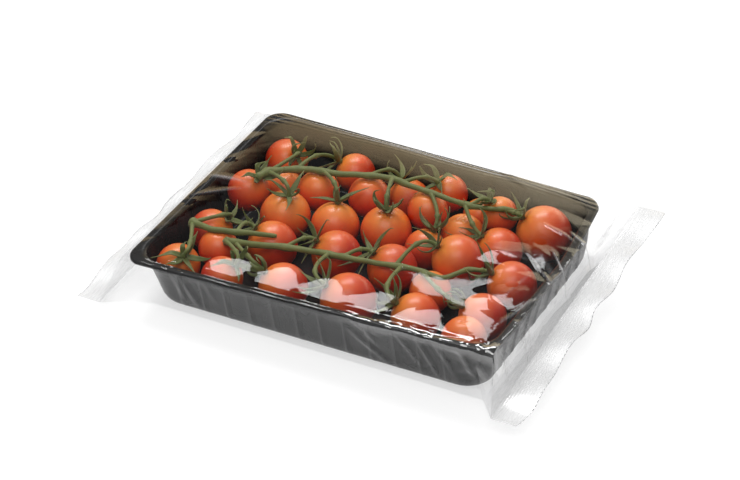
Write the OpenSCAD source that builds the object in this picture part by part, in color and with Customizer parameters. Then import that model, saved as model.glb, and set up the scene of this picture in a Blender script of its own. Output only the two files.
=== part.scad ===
/* [Tray] */
// Length of the tray over its rim
tray_l = 190; // [176:2:230]
// Width of the tray over its rim
tray_w = 144; // [136:2:170]
// Height of the tray from its foot to the top of its rim
tray_h = 29; // [26:1:40]
// Thickness of the formed sheet
tray_t = 0.6; // [0.4:0.1:1]
// How far each wall leans in from under the rim to the floor
wall_lean = 6; // [3:0.5:9]

/* [Rim] */
// Width of the flat rim
rim_w = 4; // [3:0.5:7]
// Depth of the lip turned down round the rim
lip_d = 1.6; // [1.2:0.1:3]
// Corner radius of the rim, outside
rim_r = 9; // [7:1:14]
// How far the loaded rim twists up or down at its corners
rim_twist = 2.8; // [0:0.1:3.5]
// How far the film pulls in the rim's back right corner
corner_pull = 9; // [0:1:10]
// Where that bend starts, as a share of half the width
bend_start = 0.16; // [0.1:0.02:0.5]

/* [Walls and floor] */
// Corner radius of the walls under the rim
wall_r = 12; // [10:1:16]
// Spacing of the upright ribs
rib_pitch = 12.5; // [10:0.5:18]
// Width of a rib
rib_w = 3; // [2:0.25:4.5]
// How far a rib stands out of its wall
rib_d = 0.8; // [0.4:0.1:1.4]
// Height of a rib's foot above the floor and of its head below the rim
rib_end = 4; // [3:0.5:6]
// Radius of the turn from wall to floor
foot_r = 3; // [2:0.5:5]
// Width of the ring that the tray stands on
foot_w = 6; // [4:1:10]
// How far the middle of the floor is raised inside that ring
floor_step = 1.5; // [1.4:0.1:3]

/* [Film] */
// Thickness of the film as modelled
film_t = 0.3; // [0.2:0.05:0.5]
// How far the film's cut ends reach past the rim
end_reach = 20; // [16:1:28]
// Width of the flat sealed band at each end
seal_w = 12; // [8:1:14]
// Height of the end seals above the table, at their middle
seal_z = 15; // [12:1:18]
// How far a seal rises from its middle to its back ear
seal_tilt = 5; // [0:0.5:6]
// How far a sealed band waves up and down
seal_wave = 0.8; // [0:0.1:1.5]
// How far each ear of a seal reaches past the tray's side
ear_reach = 14; // [8:1:18]
// Depth of the zigzag cut along an end
zigzag_d = 1.2; // [0.6:0.1:2]
// Height of the gathers between rim and seal
gather_h = 1.1; // [0:0.1:1.6]
// Least height of the crown of the top film over the rim
crown_min = 4; // [2:0.5:8]
// Slack of the film round the tray's foot
foot_slack = 1.5; // [1:0.5:3]
// Diameter of a vent hole
vent_d = 6; // [4:0.5:8]
// Width of the folded lengthwise seal under the pack
fin_w = 9; // [6:1:14]

/* [Tomatoes] */
// Size of all tomatoes against the ones that were measured
fruit_scale = 1; // [0.9:0.02:1]
// Depth of the hollow at the stem end
dimple_d = 0.9; // [0.5:0.1:1.4]
// Radius of that hollow
dimple_r = 3.4; // [2.5:0.1:4.5]

/* [Vines] */
// Thickness of a main stem at its thick end
stem_d = 3.6; // [2.6:0.2:4.2]
// Thickness of a main stem at its thin end
stem_tip_d = 2.3; // [1.6:0.1:3]
// Thickness of a fruit stalk
stalk_d = 1.9; // [1.4:0.1:2.4]
// Thickness of the knuckle halfway along a fruit stalk
knuckle_d = 2.4; // [1.8:0.1:3]
// Diameter of the small disc that carries the sepals
hub_d = 3.4; // [2.8:0.1:4.4]
// Length of a sepal
sepal_l = 12; // [8:0.5:14]
// Width of a sepal at its widest
sepal_w = 2.2; // [1.6:0.1:3]
// Thickness of a sepal
sepal_t = 0.9; // [0.7:0.1:1.2]
// How far a sepal's tip curls away from the fruit
sepal_curl = 5; // [2:0.5:7]

/* [Fits] */
// Clearance between the film and the tray
film_gap = 0.3; // [0.2:0.05:0.5]
// Clearance under a tomato, beside it and between two
fruit_gap = 0.15; // [0.1:0.05:0.3]
// Clearance between a vine and what it rests on
vine_gap = 0.3; // [0.2:0.05:0.4]
// Height kept free between the tomatoes and the film
head_room = 2.6; // [2.4:0.2:4]

/* [Hidden] */
half_l = tray_l / 2;
half_w = tray_w / 2;
// The lengthwise seal of the film, folded into a groove that the tray stands over
slit = 0.1;
fin_t = 2 * film_t;
groove = fin_t + 2 * slit;
base_z = groove + film_t + film_gap;
rim_z = base_z + tray_h;
foot_in = rim_w + wall_lean;
floor_z = base_z + floor_step + tray_t + fruit_gap;
lean_angle = atan(wall_lean / tray_h);

// Every tomato: place along, place across, diameter, height above the floor,
// then where its stem end points: compass angle and lean, and its vine.
// Places are shares of the way from the tray's middle to the wall.
LOOSE = 0;
FRONT = 1;
BACK = 2;
fruit = [
    [-1.00, -1.00, 21.0, 4.0, -32, 37, FRONT],
    [-1.00, -0.41, 21.0, 5.0, 22, 50, FRONT],
    [-1.00, 0.27, 21.0, 7.0, 5, 32, BACK],
    [-1.00, 0.96, 22.0, 4.0, -26, 50, BACK],
    [-0.71, 0.15, 25.0, 1.0, -17, 13, BACK],
    [-0.67, -1.00, 20.0, 5.5, 16, 40, FRONT],
    [-0.33, -0.86, 23.5, 0.0, -157, 43, FRONT],
    [-0.62, -0.33, 24.5, 0.0, -167, 42, FRONT],
    [0.12, -0.85, 26.5, 0.0, -157, 50, FRONT],
    [-0.37, 0.23, 24.0, 0.0, 91, 17, BACK],
    [-0.20, -0.20, 24.0, 0.0, -160, 50, FRONT],
    [-0.04, 0.35, 25.0, 0.0, -54, 5, BACK],
    [-0.50, 1.00, 20.0, 5.5, -160, 50, BACK],
    [0.19, -0.18, 24.0, 0.0, -165, 48, FRONT],
    [0.55, 0.11, 25.0, 3.0, -157, 50, FRONT],
    [0.26, 0.27, 20.5, 0.0, 65, 30, BACK],
    [0.41, 0.62, 21.5, 0.0, 0, 0, LOOSE],
    [0.70, 0.51, 22.5, 0.5, -165, 48, BACK],
    [0.91, 0.94, 27.0, 0.0, -159, 50, BACK],
    [0.94, 0.05, 23.5, 0.0, -155, 52, FRONT],
    [0.91, -0.49, 22.5, 0.0, -153, 54, FRONT],
    [0.55, -0.75, 23.0, 0.0, -161, 50, FRONT],
    [0.91, -0.89, 21.0, 3.5, 0, 0, LOOSE],
    [0.49, -0.30, 20.0, 0.0, 0, 0, LOOSE],
    [-0.60, 0.55, 21.0, 6.5, 0, 0, LOOSE],
    [-0.27, 0.64, 21.0, 7.0, 0, 0, LOOSE],
    [0.16, 1.00, 19.0, 7.5, -126, 37, BACK],
    [0.56, 0.81, 18.0, 10.0, -150, 30, BACK],
    [-0.09, 0.95, 21.5, 0.0, 165, 27, BACK],
    [0.40, 1.00, 18.5, 0.0, 0, 0, LOOSE],
    [0.14, 0.64, 20.0, 8.0, 0, 0, LOOSE],
    [-0.81, -0.68, 19.5, 8.5, 0, 0, LOOSE],
    [-0.88, 0.60, 20.5, 0.5, 0, 0, LOOSE]
];
n_fruit = len(fruit);

// Routes of the stems, as shares of half the floor's length and width
front_stub = [[-0.87, -0.61], [-0.79, -0.55], [-0.72, -0.52], [-0.66, -0.47], [-0.55, -0.44], [-0.46, -0.40]];
front_stem = [
    [-0.71, -0.53], [-0.68, -0.62], [-0.61, -0.61], [-0.49, -0.56], [-0.39, -0.52], [-0.27, -0.50],
    [-0.16, -0.47], [-0.08, -0.42], [0.01, -0.44], [0.13, -0.40], [0.21, -0.39], [0.35, -0.35],
    [0.53, -0.35], [0.62, -0.26], [0.71, -0.13]
];
back_stem = [
    [-0.85, 0.31], [-0.81, 0.42], [-0.74, 0.50], [-0.62, 0.55], [-0.53, 0.56], [-0.39, 0.63],
    [-0.28, 0.68], [-0.16, 0.73], [-0.06, 0.69], [0.07, 0.66], [0.18, 0.65], [0.33, 0.61],
    [0.41, 0.61], [0.49, 0.65], [0.61, 0.73]
];

// Vent holes of the top film, as shares of half the tray's length and width
vents = [
    [-0.93, -0.30], [-0.95, 0.27], [-0.29, 0.56], [0.17, 0.05],
    [0.18, 0.59], [0.63, 0.08], [0.83, 0.22], [0.86, -0.32]
];

function pad2(n) = n < 10 ? str("0", n) : str(n);
function fruit_name(i) = str("tomato_", pad2(i + 1));

function clamp(v, low, high) = max(low, min(high, v));
function lerp(a, b, f) = a + (b - a) * f;
function unit(v) = v / norm(v);
function backwards(list) = [for (i = [len(list) - 1:-1:0]) list[i]];

// Twist of the rim, and the bend of its back right corner, at full height
function twist_z(x, y) = -rim_twist * clamp(x / half_l, -1, 1) * clamp(y / half_w, -1, 1);
function bend_x(x, y) =
    corner_pull * max(0, (y / half_w - bend_start) / (1 - bend_start)) * pow(max(0, x / half_l), 3);
function warp(p) =
    let (t = clamp((p[2] - base_z) / tray_h, 0, 1))
    [p[0] - bend_x(p[0], p[1]) * t * t, p[1], p[2] + twist_z(p[0], p[1]) * t * t];

// A wall between two rings of n points that start at indices a and b
function band(a, b, n) = [
    for (i = [0:n - 1]) let (j = (i + 1) % n) each [[a + i, b + i, b + j], [a + i, b + j, a + j]]
];

// Tray

corner_n = 4;
// Room kept between a corner's curve and the nearest rib
rib_clear = 2;
corner_room = wall_r + rib_clear;
function rib_count(straight) = max(2, 1 + floor(straight / rib_pitch));
ribs_l = rib_count(tray_l - 2 * (foot_in + corner_room));
ribs_w = rib_count(tray_w - 2 * (foot_in + corner_room));

// Places along a straight side with n ribs: the place, and 1 on a rib's crest.
// Where the floor's straight side is shorter than the row of ribs, they close up.
function rib_stations(n, straight) =
    let (row = (n - 1) * rib_pitch + 2 * rib_w, squeeze = min(1, straight / row))
    [
        for (i = [0:n - 1]) each [
            for (k = [-1:1]) [squeeze * ((i - (n - 1) / 2) * rib_pitch + k * rib_w / 2), 1 - abs(k)]
        ]
    ];
function corner(hx, hy, r, turn) =
    let (sx = (turn == 0 || turn == 3) ? 1 : -1, sy = turn < 2 ? 1 : -1)
    [
        for (i = [0:corner_n]) let (a = 90 * (turn + i / corner_n))
            [sx * (hx - r) + r * cos(a), sy * (hy - r) + r * sin(a)]
    ];
// One ring round the tray: inset from the rim's edge, height, corner radius, ribs or none
function tray_ring(inset, z, r, rib) =
    let (
        hx = half_l - inset,
        hy = half_w - inset,
        along = rib_stations(ribs_l, 2 * (hx - r)),
        across = rib_stations(ribs_w, 2 * (hy - r)),
        out = rib * rib_d,
        flat = concat(
            [for (s = across) [hx + s[1] * out, s[0]]],
            corner(hx, hy, r, 0),
            [for (s = along) [-s[0], hy + s[1] * out]],
            corner(hx, hy, r, 1),
            [for (s = across) [-hx - s[1] * out, -s[0]]],
            corner(hx, hy, r, 2),
            [for (s = along) [s[0], -hy - s[1] * out]],
            corner(hx, hy, r, 3)
        )
    )
    [for (p = flat) warp([p[0], p[1], base_z + z])];

function wall_inset(z) = foot_in - wall_lean * z / tray_h;

// Where the turn from wall to floor is rounded, as a share of its radius
foot_turn = 0.3;
module tray() {
    inner_foot = foot_in + foot_r + foot_w;
    rib_low = rib_end;
    rib_high = tray_h - rib_end - lip_d;
    neck = tray_h - lip_d;
    rings = [
        tray_ring(inner_foot + floor_step, floor_step, wall_r, 0),
        tray_ring(inner_foot, 0, wall_r, 0),
        tray_ring(foot_in + foot_r, 0, wall_r, 0),
        tray_ring(wall_inset(foot_r) + foot_r * foot_turn, foot_r * foot_turn, wall_r, 0.5),
        tray_ring(wall_inset(rib_low), rib_low, wall_r, 1),
        tray_ring(wall_inset(rib_high), rib_high, wall_r, 1),
        tray_ring(wall_inset(neck), neck, wall_r, 0),
        tray_ring(rim_w, tray_h - tray_t, wall_r, 0),
        tray_ring(tray_t, tray_h - tray_t, rim_r - tray_t, 0),
        tray_ring(tray_t, tray_h - lip_d, rim_r - tray_t, 0),
        tray_ring(0, tray_h - lip_d, rim_r, 0),
        tray_ring(0, tray_h, rim_r, 0),
        tray_ring(rim_w, tray_h, wall_r, 0),
        tray_ring(wall_inset(neck) + tray_t, neck, wall_r, 0),
        tray_ring(wall_inset(rib_high) + tray_t, rib_high, wall_r, 1),
        tray_ring(wall_inset(rib_low) + tray_t, rib_low, wall_r, 1),
        tray_ring(foot_in + foot_r, tray_t, wall_r, 0),
        tray_ring(inner_foot, tray_t, wall_r, 0),
        tray_ring(inner_foot + floor_step, tray_t + floor_step, wall_r, 0)
    ];
    n = len(rings[0]);
    last = len(rings) - 1;
    // The middle of the floor, below and above
    low_mid = (last + 1) * n;
    middles = [[0, 0, base_z + floor_step], [0, 0, base_z + floor_step + tray_t]];
    color("#1c1c1e") polyhedron(
        points = concat([for (r = rings) each r], middles),
        faces = concat(
            [for (i = [0:n - 1]) [low_mid, i, (i + 1) % n]],
            [for (k = [0:last - 1]) each band(k * n, (k + 1) * n, n)],
            [for (i = [0:n - 1]) [low_mid + 1, last * n + (i + 1) % n, last * n + i]]
        )
    );
}

// Tomatoes

function fruit_r(i) = fruit[i][2] / 2 * fruit_scale;
// How far a tomato of radius r at height z can move from the middle, on a half side
function reach(half, z, r) =
    half - foot_in - tray_t + wall_lean * (z - base_z) / tray_h - r / cos(lean_angle) - 2 * fruit_gap;
// A small tomato in a rounded corner is kept off the corner's wall
corner_lean = atan(sqrt(2) * tan(lean_angle));
function off_corner(x, y, z, r) =
    let (
        inset = wall_inset(z - base_z) + wall_r,
        over = [max(0, abs(x) - half_l + inset), max(0, abs(y) - half_w + inset)],
        room = max(0, wall_r * cos(45 / corner_n) - tray_t - r / cos(corner_lean) - 2 * fruit_gap),
        keep = norm(over) > room ? room / norm(over) : 1
    )
    min(over) > 0 ? [x - sign(x) * over[0] * (1 - keep), y - sign(y) * over[1] * (1 - keep), z, r] : [x, y, z, r];
function listed_place(i) =
    let (r = fruit_r(i), z = floor_z + r + fruit[i][3])
    off_corner(fruit[i][0] * reach(half_l, z, r), fruit[i][1] * reach(half_w, z, r), z, r);
// A tomato that would press into those already placed is raised until it rests on them
function rest_height(p, placed) = max(concat([p[2]], [
    for (q = placed)
        let (
            touch = p[3] + q[3] + fruit_gap,
            apart = norm([p[0] - q[0], p[1] - q[1]])
        )
        norm([p[0] - q[0], p[1] - q[1], p[2] - q[2]]) < touch ? q[2] + sqrt(touch * touch - apart * apart) : p[2]
]));
function place_all(i, placed) =
    i == n_fruit ? placed :
    let (p = listed_place(i), first = rest_height(p, placed), z = rest_height([p[0], p[1], first, p[3]], placed))
    place_all(i + 1, concat(placed, [[p[0], p[1], z, p[3]]]));
balls = place_all(0, []);

// Side of a tomato: nearly a ball, a little flat, hollowed at the stem end
side_steps = 20;
function side_point(r, a) =
    let (
        x = r * cos(a),
        hollow = a > 0 ? dimple_d * exp(-2 * pow(x / dimple_r, 2)) : 0
    )
    [x, r * sin(a) - hollow];
module tomato(i) {
    b = balls[i];
    color("#c8281a") translate([b[0], b[1], b[2]]) rotate([0, fruit[i][5], fruit[i][4]])
        rotate_extrude($fn = 64) polygon([
            [0, -b[3]],
            for (k = [1:side_steps - 1]) side_point(b[3], -90 + 180 * k / side_steps),
            [0, b[3] - dimple_d]
        ]);
}

// Film

crown_share = function (x, y) (1 - pow(min(1, abs(x / half_l)), 4)) * (1 - pow(min(1, abs(y / half_w)), 4));
crown = max(concat([crown_min], [
    for (b = balls)
        (b[2] + b[3] + head_room - rim_z - twist_z(b[0], b[1])) / crown_share(b[0], b[1])
]));
// Underside of the top film
function film_z(x, y) = rim_z + film_gap + twist_z(x, y) + crown * crown_share(x, y);

top_n = 24;
seal_x = half_l + end_reach - seal_w;
cut_x = half_l + end_reach;
seal_half = half_w + ear_reach;
rim_end = half_l + film_gap + film_t;
foot_end = half_l - foot_in + foot_slack;
groove_side = 2;
groove_half = fin_w + groove_side;
fold_steps = [0.35, 0.7];
gathers = 8;
seal_waves = 2.5;

function seal_height(x, y) =
    seal_z + seal_tilt * y / seal_half
    + seal_wave * sin(360 * seal_waves * y / seal_half) * clamp((abs(x) - seal_x) / seal_w, 0, 1);
// How far a section at x has closed, above and below: 0 round the tray, 1 at the seal
function close_top(x) = clamp((abs(x) - rim_end) / (seal_x - rim_end), 0, 1);
function close_low(x) = clamp((abs(x) - foot_end) / (seal_x - foot_end), 0, 1);
function gather(f, share) = gather_h * 4 * f * (1 - f) * cos(180 * gathers * share);

// Places across the bottom panel, which steps up over the folded seal
function low_share(k) = -1 + 2 * k / top_n;
function low_y(k, half) =
    let (s = low_share(k), mid = top_n / 2, d = abs(k - mid), side = sign(k - mid))
    d <= 2 ? side * groove_half * d / 2 :
    d == 3 ? side * (groove_half + groove) :
    side * lerp(groove_half + groove, half, (d - 3) / (mid - 3));
function low_z(k) = abs(k - top_n / 2) <= 2 ? groove : 0;

// One section of the pouch at x, inset by t from the film's outside
function film_ring(x, t) =
    let (
        f = close_top(x),
        g = close_low(x),
        rim_half = half_w + film_gap + film_t - t,
        foot_half = half_w - foot_in + foot_slack + film_t - t,
        thin = film_t - t + slit,
        end = seal_half - t,
        top_half = lerp(rim_half, end, f),
        low_half = lerp(foot_half, end, g),
        lip_z = rim_z - lip_d - film_gap
    )
    concat(
        [
            for (k = [0:top_n]) let (s = low_share(k), y = s * top_half)
                [x, y, lerp(film_z(x, y) + film_t - t, seal_height(x, y) + thin, f) + gather(f, s)]
        ],
        [[x, top_half + f * film_t, lerp(lip_z + twist_z(x, half_w), seal_height(x, end), f)]],
        [
            for (k = [top_n:-1:0]) let (y = lerp(low_y(k, foot_half), low_share(k) * end, g))
                [x, y, lerp(low_z(k) + t, seal_height(x, y) - thin, g)]
        ],
        [[x, -top_half - f * film_t, lerp(lip_z + twist_z(x, -half_w), seal_height(x, -end), f)]]
    );

// The same section at the cut end, with its zigzag
function cut_ring(side) = [
    for (i = [0:2 * top_n + 3])
        let (
            p = film_ring(side * cut_x, 0)[i],
            k = i <= top_n ? i : 2 * top_n + 2 - i,
            notch = (i != top_n + 1 && i != 2 * top_n + 3 && k % 2 == 1) ? zigzag_d : 0
        )
        [p[0] - side * notch, p[1], p[2]]
];

// Quads that close a ring which starts at index a, from its top row to its bottom row
function ring_cap(a, last) =
    let (
        n = 2 * top_n + 4,
        quads = concat(
            [for (k = [0:top_n - 1]) let (b = 2 * top_n + 2 - k) each [[k, k + 1, b], [k + 1, b - 1, b]]],
            [[top_n, top_n + 1, top_n + 2], [0, 2 * top_n + 2, n - 1]]
        )
    )
    [for (q = quads) let (t = [a + q[0], a + q[1], a + q[2]]) last ? t : backwards(t)];

module loft(rings) {
    n = len(rings[0]);
    last = len(rings) - 1;
    polyhedron(
        points = [for (r = rings) each r],
        faces = concat(
            ring_cap(0, false),
            [for (k = [0:last - 1], f = band(k * n, (k + 1) * n, n)) backwards(f)],
            ring_cap(last * n, true)
        )
    );
}

body_shares = [1, 0.8, 0.55, 0.28];
body_steps = [for (s = body_shares) s * foot_end];
function half_stations(first, shift) = concat(
    first,
    [for (f = [1 - fold_steps[1], 1 - fold_steps[0]]) lerp(seal_x, rim_end, f) - shift],
    [rim_end - shift],
    body_steps
);
function stations(first, shift) =
    let (h = half_stations(first, shift))
    concat([for (x = h) -x], [0], [for (i = [len(h) - 1:-1:0]) h[i]]);

module film_wrap() {
    outer = stations([(cut_x + seal_x) / 2, seal_x], 0);
    inner = stations([seal_x - film_t], film_t);
    color("#dfe6e8", 0.35) {
        difference() {
            loft(concat(
                [cut_ring(-1)],
                [for (x = outer) film_ring(x, 0)],
                [cut_ring(1)]
            ));
            loft([for (x = inner) film_ring(x, film_t)]);
            for (v = vents) {
                x = v[0] * half_l;
                y = v[1] * half_w;
                translate([x, y, film_z(x, y)]) cylinder(d = vent_d, h = vent_d, center = true, $fn = 16);
            }
        }
        // The lengthwise seal, folded flat into the groove under the pack
        translate([-foot_end, 0, slit]) cube([2 * foot_end, fin_w, fin_t]);
        translate([-foot_end, 0, slit]) cube([2 * foot_end, fin_t, groove]);
    }
}

// Vines

// Height at which something of radius r rests on the tomatoes at x, y, and where none is
low_drape = base_z + 0.7 * tray_h;
function drape_z(x, y, r) = max(concat([low_drape], [
    for (b = balls)
        let (touch = b[3] + r + vine_gap, apart = norm([x - b[0], y - b[1]]))
        apart < touch ? b[2] + sqrt(touch * touch - apart * apart) : 0
]));
// A point moved out of every tomato that it is in, to its upper side
side_rise = 0.3;
function push_out(p, r, i) =
    i == n_fruit ? p :
    let (
        b = balls[i],
        centre = [b[0], b[1], b[2]],
        away = p - centre,
        lifted = [away[0], away[1], max(away[2], side_rise * b[3])],
        touch = b[3] + r + vine_gap
    )
    push_out(norm(away) < touch ? centre + unit(lifted) * touch : p, r, i + 1);
function under_film(p, r) = [p[0], p[1], min(p[2], film_z(p[0], p[1]) - r - vine_gap)];
function settle(p, r) = push_out(under_film(push_out(p, r, 0), r), r, 0);

// A tube of m sides along a path; wide and high give its half sizes at each point
function sweep_ring(p, along, up, w, h, m) =
    let (side = unit(cross(along, up)), rise = unit(cross(side, along)))
    [for (i = [0:m - 1]) let (a = 360 * (i + 0.5) / m) p + side * w * cos(a) + rise * h * sin(a)];
module sweep(path, wide, high, up, m) {
    last = len(path) - 1;
    rings = [
        for (i = [0:last])
            sweep_ring(path[i], unit(path[min(last, i + 1)] - path[max(0, i - 1)]), up, wide[i], high[i], m)
    ];
    polyhedron(
        points = [for (r = rings) each r],
        faces = concat(
            [[for (i = [m - 1:-1:0]) i]],
            [for (k = [0:last - 1], f = band(k * m, (k + 1) * m, m)) backwards(f)],
            [[for (i = [0:m - 1]) last * m + i]]
        )
    );
}

floor_half_l = half_l - foot_in;
floor_half_w = half_w - foot_in;
function stem_radius(i, last) = lerp(stem_d, stem_tip_d, i / last) / 2;
// A route with extra points between those listed, so that it bends closely over the tomatoes
stem_parts = 4;
function finer(list) = concat(
    [for (i = [0:len(list) - 2], k = [0:stem_parts - 1]) lerp(list[i], list[i + 1], k / stem_parts)],
    [list[len(list) - 1]]
);
// A main stem laid on the tomatoes, with its heights eased
function raw_stem(shares) =
    let (last = len(shares) - 1)
    [
        for (i = [0:last])
            let (x = shares[i][0] * floor_half_l, y = shares[i][1] * floor_half_w, r = stem_radius(i, last))
            [x, y, drape_z(x, y, r)]
    ];
function laid_stem(shares) =
    let (p = raw_stem(finer(shares)), last = len(p) - 1)
    [
        for (i = [0:last])
            let (mean = (p[max(0, i - 1)][2] + p[i][2] + p[min(last, i + 1)][2]) / 3)
            [p[i][0], p[i][1], max(p[i][2], mean)]
    ];

// The direction of a tomato's stem end, and the point of its calyx
function stem_axis(i) =
    let (turn = fruit[i][4], lean = fruit[i][5])
    [cos(turn) * sin(lean), sin(turn) * sin(lean), cos(lean)];
hub_h = dimple_d + sepal_t;
function calyx(i) =
    [balls[i][0], balls[i][1], balls[i][2]] + stem_axis(i) * (balls[i][3] - dimple_d + vine_gap + hub_h);
function nearest(path, p) =
    let (d = [for (q = path) norm(q - p)], best = min(d))
    path[[for (k = [0:len(d) - 1]) if (d[k] == best) k][0]];

stalk_steps = 4;
sepals = 5;
sepal_steps = 3;
sepal_widths = [0.6, 1, 0.7, 0.15];
sepal_edge = 0.2;
sepal_short = 0.15;
hub_taper = 0.6;
stalk_bow = 0.45;
knuckle_span = [0.7, 0.3];
stalk_sides = 5;
sepal_sides = 4;
stem_sides = 8;
hub_sides = 6;

module stalk(i, from) {
    to = calyx(i);
    axis = stem_axis(i);
    reach_out = norm(to - from) * stalk_bow;
    bend = to + axis * reach_out;
    path = [
        for (k = [0:stalk_steps])
            let (t = k / stalk_steps, p = from * (1 - t) * (1 - t) + bend * 2 * t * (1 - t) + to * t * t)
            k == stalk_steps ? to : settle(p, stalk_d / 2)
    ];
    radii = [for (p = path) stalk_d / 2];
    sweep(path, radii, radii, unit(cross(axis, [axis[1], -axis[0] + 0.01, 0.3])), stalk_sides);
    hull() for (share = knuckle_span) {
        translate(lerp(path[1], path[2], share)) sphere(d = knuckle_d, $fn = stalk_sides);
    }
}

module sepal(i, turn, reach_share) {
    axis = stem_axis(i);
    base = calyx(i) - axis * sepal_t / 2;
    level = unit(cross(axis, [0.3, 0.2, 1]));
    out = level * cos(turn) + cross(axis, level) * sin(turn);
    path = [
        for (k = [0:sepal_steps])
            let (t = k / sepal_steps, p = base + out * sepal_l * reach_share * t + axis * sepal_curl * t * t)
            k == 0 ? base : settle(p, sepal_t)
    ];
    sweep(
        path,
        [for (w = sepal_widths) w * sepal_w / 2],
        [for (w = sepal_widths) lerp(sepal_edge, 1, w) * sepal_t / 2],
        axis, sepal_sides
    );
}

module fruit_set(i, stem) {
    axis = stem_axis(i);
    stalk(i, nearest(stem, calyx(i)));
    translate(calyx(i)) rotate([0, fruit[i][5], fruit[i][4]]) translate([0, 0, -hub_h])
        cylinder(d1 = hub_d * hub_taper, d2 = hub_d, h = hub_h, $fn = hub_sides);
    for (k = [0:sepals - 1]) sepal(i, 360 * k / sepals + 47 * i, 1 - sepal_short * (1 - cos(130 * (k + i))));
}

module stem(path) {
    last = len(path) - 1;
    radii = [for (k = [0:last]) stem_radius(k, last)];
    sweep(path, radii, radii, [0, 0, 1], stem_sides);
}

module vine(side, paths) {
    all_points = [for (p = paths) each p];
    color("#5d8a3a") union() {
        for (p = paths) stem(p);
        for (i = [0:n_fruit - 1]) if (fruit[i][6] == side) fruit_set(i, all_points);
    }
}
module vine_front() vine(FRONT, [laid_stem(front_stub), laid_stem(front_stem)]);
module vine_back() vine(BACK, [laid_stem(back_stem)]);

tray();
film_wrap();
vine_front();
vine_back();
for (i = [0:n_fruit - 1]) {
    tomato(i);
}
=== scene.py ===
# %% [markdown]
# # Vine tomatoes in a film-wrapped tray
# The pack is a shallow black tray, thirty-three small tomatoes, the two vines that carry most of
# them, and a bag of clear film that is sealed flat at both ends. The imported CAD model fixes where
# everything is. Each piece here is a finer version of one of its nodes, in the same place.

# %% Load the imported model
import math

import bpy
import numpy as np
from mathutils import Matrix, Vector, geometry


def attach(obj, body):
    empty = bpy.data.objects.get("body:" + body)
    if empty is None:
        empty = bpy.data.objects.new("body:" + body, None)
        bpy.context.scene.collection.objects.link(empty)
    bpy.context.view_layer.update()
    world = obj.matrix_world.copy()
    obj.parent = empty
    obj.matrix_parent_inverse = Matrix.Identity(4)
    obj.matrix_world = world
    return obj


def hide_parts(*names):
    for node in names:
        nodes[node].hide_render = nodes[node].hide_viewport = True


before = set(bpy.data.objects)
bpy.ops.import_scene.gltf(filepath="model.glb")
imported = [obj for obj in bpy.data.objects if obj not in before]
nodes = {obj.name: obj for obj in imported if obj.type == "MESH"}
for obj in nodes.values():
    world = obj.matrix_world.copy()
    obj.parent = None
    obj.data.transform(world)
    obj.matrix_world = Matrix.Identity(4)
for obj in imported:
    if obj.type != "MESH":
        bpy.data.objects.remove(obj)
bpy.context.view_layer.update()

# %% [markdown]
# ## Camera
# The lens and the place of the camera were worked out from the rim of the tray, whose four corners
# are known in the picture and on the model. It is a long lens from about a metre away, turned a
# little about its own axis. Making it first lets every later step be compared with the photograph.

# %% Make the camera
MM = 0.001
RISE = 1.4  # how far the tray's foot stands above the table, on the folded seal of the film
DISTANCE, FOCAL_PX, PICTURE_W, SENSOR = 1.0799, 2193.37, 740, 36
turn, height, roll = math.radians(28.15), math.radians(33.28), math.radians(-1.34)
away = Vector((math.sin(turn) * math.cos(height), -math.cos(turn) * math.cos(height), math.sin(height)))
side = (-away).cross(Vector((0, 0, 1))).normalized()
up = side.cross(-away)
right = side * math.cos(roll) + up * math.sin(roll)
top = up * math.cos(roll) - side * math.sin(roll)
looks_at = Vector((-17.04, 27.48, RISE)) * MM
eye = looks_at + away * DISTANCE
camera = bpy.data.objects.new("camera", bpy.data.cameras.new("camera"))
camera.data.sensor_width = SENSOR
camera.data.lens = FOCAL_PX * SENSOR / PICTURE_W
camera.data.clip_start = 0.01
camera.matrix_world = Matrix((
    (right.x, top.x, away.x, eye.x),
    (right.y, top.y, away.y, eye.y),
    (right.z, top.z, away.z, eye.z),
    (0, 0, 0, 1),
))
bpy.context.collection.objects.link(camera)
bpy.context.scene.camera = camera
print("lens %.1f mm" % camera.data.lens)

# %% [markdown]
# ## Helpers
# Shapes are worked out in millimetres with arrays, because the CAD sizes are in millimetres, and
# turned into metres when the mesh is made. One helper adds a node to a material or to a Geometry
# Nodes tree and joins its inputs, so that each tree reads as a list of steps.

# %% Helpers for meshes and nodes
def lerp(a, b, f):
    return a + (b - a) * f


def unit(v):
    return v / np.linalg.norm(v)


def ramp(v):
    return np.clip(v, 0, 1)


def eased(f):
    return f * f * (3 - 2 * f)


def relax(path):
    """Draws each place but the first and last towards its neighbours."""
    path[1:-1] = (path[:-2] + 2 * path[1:-1] + path[2:]) / 4


def mesh_object(name, points, faces, sharp=None, **attributes):
    mesh = bpy.data.meshes.new(name)
    mesh.from_pydata((np.asarray(points) * MM).tolist(), [], faces)
    for key, values in attributes.items():
        mesh.attributes.new(key, "FLOAT", "POINT").data.foreach_set("value", np.asarray(values, dtype=np.float32))
    mesh.shade_smooth()
    if sharp:
        mesh.set_sharp_from_angle(angle=math.radians(sharp))
    obj = bpy.data.objects.new(name, mesh)
    bpy.context.collection.objects.link(obj)
    return obj


def add(tree, kind, inputs=None, **settings):
    new = tree.nodes.new(kind)
    for key, value in settings.items():
        setattr(new, key, value)
    for key, value in (inputs or {}).items():
        if isinstance(value, bpy.types.NodeSocket):
            tree.links.new(value, new.inputs[key])
        else:
            new.inputs[key].default_value = value
    return new


def math_node(tree, operation, *values):
    return add(tree, "ShaderNodeMath", dict(enumerate(values)), operation=operation).outputs[0]


def times(tree, a, b):
    return math_node(tree, "MULTIPLY", a, b)


def mapped(tree, value, old, new=(0, 1), **settings):
    """The value, moved from one range of numbers to another."""
    return add(tree, "ShaderNodeMapRange", {
        "Value": value, "From Min": old[0], "From Max": old[1], "To Min": new[0], "To Max": new[1]},
        **settings).outputs[0]


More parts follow.
